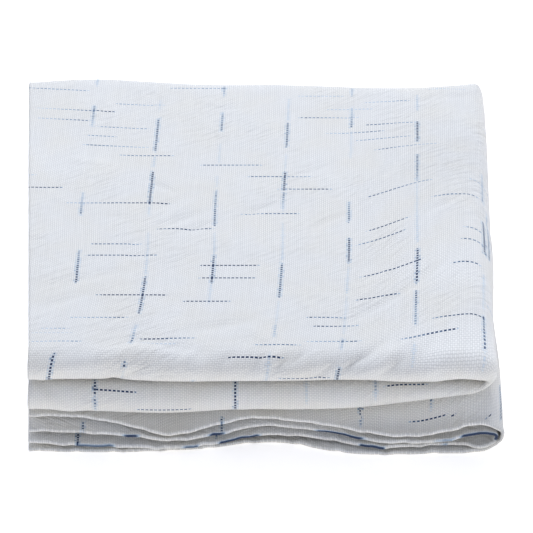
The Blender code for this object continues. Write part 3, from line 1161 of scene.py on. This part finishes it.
@dataclass
class FoldedCloth:
    """The cloth itself: one closed sheet with rounded selvedges and plain cut ends."""

    pile: Pile
    grain: Grain
    creases: Creases
    chart: Chart
    selvedge: SelvedgeDye
    finish: CottonFinish
    # the points round a selvedge, in degrees, and the share of its dye at each
    rim_angles: tuple[float, ...] = (45.0, 90.0, 135.0)
    rim_dye: tuple[float, ...] = (0.7, 1.0, 0.6)
    # how much thicker the sheet is at a selvedge, and how far in that reaches
    edge_swell: float = 0.45
    edge_reach: float = 1.1
    # wavelength and height of each wave along a selvedge, and how far in it reaches
    ripples: tuple[tuple[float, float], ...] = ((9.1, 0.18), (5.3, 0.12), (3.7, 0.07))
    ripple_reach: float = 3.0
    # the phase from one wave to the next, and from one selvedge to the other
    wave_phase: float = 1.7
    side_phase: float = 2.3

    def normals(self, middle: np.ndarray) -> np.ndarray:
        """Unit vectors square to the sheet, towards the outside of the front and back rolls.

        Args:
            middle: the middle of the sheet.

        Returns:
            A vector for each point.
        """
        across = np.gradient(middle, axis=0)
        onward = np.gradient(middle, axis=1)
        square = np.cross(onward, across)
        return square / np.linalg.norm(square, axis=2, keepdims=True)

    @staticmethod
    def inward(middle: np.ndarray) -> tuple[np.ndarray, np.ndarray]:
        """How far each row of the sheet is from each selvedge.

        Args:
            middle: the middle of the sheet.

        Returns:
            The distances from its first row and from its last.
        """
        wide = np.linalg.norm(np.diff(middle, axis=0), axis=2).mean(axis=1)
        first = np.concatenate([[0.0], np.cumsum(wide)])
        return first, first[-1] - first

    def rippled(self, middle: np.ndarray, along: np.ndarray) -> np.ndarray:
        """The sheet with a slight ripple along its two selvedges.

        The height is the sum of h sin(2 pi along / wavelength + phase), times
        exp(-(distance from the selvedge / reach)^2), square to the sheet.

        Args:
            middle: the middle of the sheet.
            along: places along the warp, rows by columns.

        Returns:
            The middle, moved.
        """
        moved = np.zeros_like(along)
        for side, distance in enumerate(self.inward(middle)):
            fade = np.exp(-((distance / self.ripple_reach) ** 2))[:, None]
            for index, (wave, height) in enumerate(self.ripples):
                phase = self.wave_phase * index + self.side_phase * side
                moved += height * np.sin(2.0 * np.pi * along / wave + phase) * fade
        return middle + self.normals(middle) * moved[:, :, None]

    def shell(self, middle: np.ndarray) -> tuple[np.ndarray, np.ndarray, list]:
        """Both skins of the sheet as one closed loop for each column, with round rims.

        A rim point at angle a is half the thickness times (cos a of the normal + sin a of the
        outward direction) from the edge.

        Args:
            middle: the middle of the sheet.

        Returns:
            Points, the grid row that each loop place belongs to, and the faces.
        """
        rows, columns, _ = middle.shape
        normal = self.normals(middle)
        swell = np.exp(-((np.minimum(*self.inward(middle)) / self.edge_reach) ** 2))
        half = self.pile.thickness / 2 * (1.0 + self.edge_swell * swell)
        above = middle + normal * half[:, None, None]
        below = middle - normal * half[:, None, None]

        def rim(row: int, inner: int, flip: bool) -> np.ndarray:
            """Points round one selvedge, from the upper skin to the lower one, or back.

            Args:
                row: the selvedge's row.
                inner: the row next to it.
                flip: whether they run back.

            Returns:
                Points, one row for each rim angle.
            """
            out = middle[row] - middle[inner]
            out /= np.linalg.norm(out, axis=1, keepdims=True)
            turns = np.radians(self.rim_angles[::-1] if flip else self.rim_angles)
            ways = [np.cos(a) * normal[row] + np.sin(a) * out for a in turns]
            return np.stack([middle[row] + half[row] * way for way in ways])

        loop = np.concatenate([above, rim(rows - 1, rows - 2, False), below[::-1], rim(0, 1, True)])
        down, extra = np.arange(rows), len(self.rim_angles)
        belongs = np.concatenate([down, np.full(extra, rows - 1), down[::-1], np.zeros(extra, int)])
        places = len(loop)
        number = np.arange(places * columns).reshape(places, columns)
        after = np.roll(number, -1, axis=0)
        sides = np.stack([number[:, :-1], number[:, 1:], after[:, 1:], after[:, :-1]], axis=-1)
        faces = sides.reshape(-1, 4).tolist()
        opposite = 2 * rows + extra - 1
        for column, turned in ((0, False), (columns - 1, True)):
            strip = number[:, column]
            lower = strip[opposite - np.arange(rows)]
            upper = strip[:rows]
            caps = np.stack([upper[:-1], upper[1:], lower[1:], lower[:-1]], axis=-1)
            ends = [strip[rows - 1 : rows + extra + 1], np.append(strip[opposite:], strip[0])]
            caps = caps.tolist() + [end.tolist() for end in ends]
            faces += [cap[::-1] if turned else cap for cap in caps]
        loop[:, :, 2] = np.maximum(loop[:, :, 2], 0.0)
        return loop, belongs, faces

    def build(self) -> bpy.types.Object:
        """Makes the mesh, its yarn places and its marks.

        Returns:
            The cloth.
        """
        middle, axis_row = self.pile.middle()
        along, across = self.grain.places(middle, axis_row, self.pile)
        heights = self.creases.heights(along, across)
        middle = self.rippled(middle + self.normals(middle) * heights[:, :, None], along)
        loop, belongs, faces = self.shell(middle)
        points = loop.reshape(-1, 3)
        points[:, :2] -= self.pile.centre
        mesh = bpy.data.meshes.new("ikat_cloth")
        mesh.from_pydata((points * MM).tolist(), [], faces)
        # each plain end has a face between every two rows, and one more at each selvedge
        caps = 2 * (middle.shape[0] + 1)
        soft = np.ones(len(mesh.polygons), bool)
        soft[-caps:] = False
        mesh.polygons.foreach_set("use_smooth", soft)
        places = np.stack([along[belongs], across[belongs]], axis=-1).reshape(-1, 2) * MM
        self.lay_yarns(mesh, places)
        self.lay_marks(mesh, places)
        self.lay_selvedge(mesh, middle, loop.shape[0])
        mesh.materials.append(self.finish.material())
        mesh.update()
        cloth = bpy.data.objects.new("ikat_cloth", mesh)
        bpy.context.scene.collection.objects.link(cloth)
        return cloth

    @staticmethod
    def corners(mesh: bpy.types.Mesh) -> np.ndarray:
        """The point number at each face corner.

        Args:
            mesh: the mesh.

        Returns:
            The numbers, in the order of the corners.
        """
        numbers = np.empty(len(mesh.loops), np.int32)
        mesh.loops.foreach_get("vertex_index", numbers)
        return numbers

    def lay_yarns(self, mesh: bpy.types.Mesh, places: np.ndarray) -> None:
        """Writes the UV map: places in the cloth, in metres.

        Args:
            mesh: the cloth's mesh.
            places: two numbers for each point.
        """
        layer = mesh.uv_layers.new(name="yarns")
        layer.data.foreach_set("uv", places[self.corners(mesh)].astype(np.float32).ravel())

    def lay_marks(self, mesh: bpy.types.Mesh, places: np.ndarray) -> None:
        """Writes on each face where its nearest warp mark and weft mark are.

        Args:
            mesh: the cloth's mesh.
            places: two numbers for each point, in metres.
        """
        first = np.empty(len(mesh.polygons), np.int32)
        count = np.empty(len(mesh.polygons), np.int32)
        mesh.polygons.foreach_get("loop_start", first)
        mesh.polygons.foreach_get("loop_total", count)
        centre = np.add.reduceat(places[self.corners(mesh)], first, axis=0) / count[:, None]
        column = centre[:, 0] / self.finish.weave.weft_pitch
        row = (centre[:, 1] - self.finish.weave.first_row) / self.finish.weave.warp_pitch
        found = {
            "dash": self.chart.nearest(self.chart.all_dashes(), column, row),
            "line": self.chart.nearest(self.chart.all_lines(), row, column),
        }
        for name, (where, shades) in found.items():
            for label, values in ((name, where), (name + "_shade", shades)):
                attribute = mesh.attributes.new(label, "FLOAT_VECTOR", "FACE")
                attribute.data.foreach_set("vector", values.astype(np.float32).ravel())

    def lay_selvedge(self, mesh: bpy.types.Mesh, middle: np.ndarray, places: int) -> None:
        """Writes the solid blue of the two inner selvedges, at its full strength on the rim.

        Args:
            mesh: the cloth's mesh.
            middle: the middle of the sheet.
            places: how many places each loop has.
        """
        rows, columns, _ = middle.shape
        half_way = self.pile.run_steps + self.pile.turn_steps // 2
        x = middle[-1, :, 0]
        upper = self.selvedge.at(self.selvedge.layer_7, x)
        lower = self.selvedge.at(self.selvedge.layer_6, x)
        dye = np.where(np.arange(columns) < half_way, upper, lower)
        total = np.zeros((places, columns))
        total[rows : rows + len(self.rim_angles)] = dye * np.array(self.rim_dye)[:, None]
        attribute = mesh.attributes.new("selvedge", "FLOAT", "POINT")
        attribute.data.foreach_set("value", total.astype(np.float32).ravel())

    def flat_size(self) -> tuple[float, float, float]:
        """The cloth's size when it is laid flat.

        Returns:
            Width, length and area, in metres.
        """
        middle, _ = self.pile.middle()
        wide = np.linalg.norm(np.diff(middle, axis=0), axis=2)
        long = np.linalg.norm(np.diff(middle, axis=1), axis=2)
        width, length = wide.sum(axis=0).mean(), long.sum(axis=1).mean()
        area = (wide[:, :-1] * long[:-1, :]).sum()
        return float(width * MM), float(length * MM), float(area * MM * MM)

    def place(self) -> bpy.types.Object:
        """Builds the cloth, hangs it on the root, and hides the CAD part that it replaces.

        Returns:
            The cloth.
        """
        cloth = self.build()
        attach(cloth, "root")
        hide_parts("folded_cloth")
        width, length, area = self.flat_size()
        faces = len(cloth.data.polygons)
        LOG.info("cloth %.0f x %.0f mm flat, %.4f m2, %d faces", width / MM, length / MM, area, faces)
        return cloth


@dataclass(frozen=True)
class FloorFinish:
    """A matt white panel, lit softly from inside."""

    colour: tuple[float, float, float, float] = (0.95, 0.93, 0.90, 1.0)
    roughness: float = 0.9
    specular: float = 0.2
    glow: float = 0.50

    def material(self) -> bpy.types.Material:
        """The floor's material.

        Returns:
            The material.
        """
        material = bpy.data.materials.new("white_board")
        material.use_nodes = True
        graph = Graph(material)
        shader = graph.nodes["Principled BSDF"]
        shader.inputs["Base Color"].default_value = self.colour
        shader.inputs["Roughness"].default_value = self.roughness
        shader.inputs["Specular IOR Level"].default_value = self.specular
        shader.inputs["Emission Color"].default_value = self.colour
        shader.inputs["Emission Strength"].default_value = self.glow
        return material


@dataclass(frozen=True)
class Lamp:
    """A square soft lamp aimed at the cloth: name, place, side, power and colour."""

    name: str
    at: tuple[float, float, float]
    side: float
    power: float
    colour: tuple[float, float, float]

    def build(self) -> None:
        """Adds the lamp to the scene."""
        light = bpy.data.lights.new(self.name, "AREA")
        light.shape = "SQUARE"
        light.size = self.side
        light.energy = self.power
        light.color = self.colour
        lamp = bpy.data.objects.new(self.name, light)
        lamp.location = self.at
        lamp.rotation_euler = (-Vector(self.at)).to_track_quat("-Z", "Y").to_euler()
        bpy.context.scene.collection.objects.link(lamp)


@dataclass
class Studio:
    """Floor, lights and camera."""

    floor_side: float = 6.0
    camera_at: tuple[float, float, float] = (0.00336, -0.63223, 0.576)
    camera_tilt: float = 48.0
    lens: float = 192.5
    world_colour: tuple[float, float, float, float] = (0.90, 0.97, 1.18, 1.0)
    world_strength: float = 0.66
    overhead: Lamp = Lamp("overhead", (0.02, 0.62, 1.10), 0.45, 9.5, (0.92, 0.97, 1.06))

    def floor(self) -> bpy.types.Object:
        """A flat white floor at height 0.

        Returns:
            The floor.
        """
        half = self.floor_side / 2
        mesh = bpy.data.meshes.new("floor")
        corners = [(-half, -half, 0.0), (half, -half, 0.0), (half, half, 0.0), (-half, half, 0.0)]
        mesh.from_pydata(corners, [], [(0, 1, 2, 3)])
        mesh.materials.append(FloorFinish().material())
        floor = bpy.data.objects.new("floor", mesh)
        bpy.context.scene.collection.objects.link(floor)
        return floor

    def lights(self) -> None:
        """An even pale world and one soft lamp."""
        world = bpy.data.worlds.new("studio")
        world.use_nodes = True
        back = world.node_tree.nodes["Background"]
        back.inputs["Color"].default_value = self.world_colour
        back.inputs["Strength"].default_value = self.world_strength
        bpy.context.scene.world = world
        self.overhead.build()

    def camera(self) -> None:
        """A long lens that looks down on the front rolls."""
        lens = bpy.data.cameras.new("camera")
        lens.lens = self.lens
        camera = bpy.data.objects.new("camera", lens)
        camera.location = self.camera_at
        camera.rotation_euler = (float(np.radians(self.camera_tilt)), 0.0, 0.0)
        bpy.context.scene.collection.objects.link(camera)
        bpy.context.scene.camera = camera

    def build(self) -> None:
        """Sets up the whole studio, with true whites."""
        self.floor()
        self.lights()
        self.camera()
        bpy.context.scene.view_settings.view_transform = "Standard"


def main() -> None:
    """Builds the studio and the cloth."""
    logging.basicConfig(level=logging.INFO, format="%(name)s: %(message)s")
    Studio().build()
    weave = Weave()
    cloth = FoldedCloth(Pile(), Grain(), Creases(), Chart(), SelvedgeDye(), CottonFinish(weave))
    cloth.place()
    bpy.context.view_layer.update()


if __name__ == "__main__":
    main()
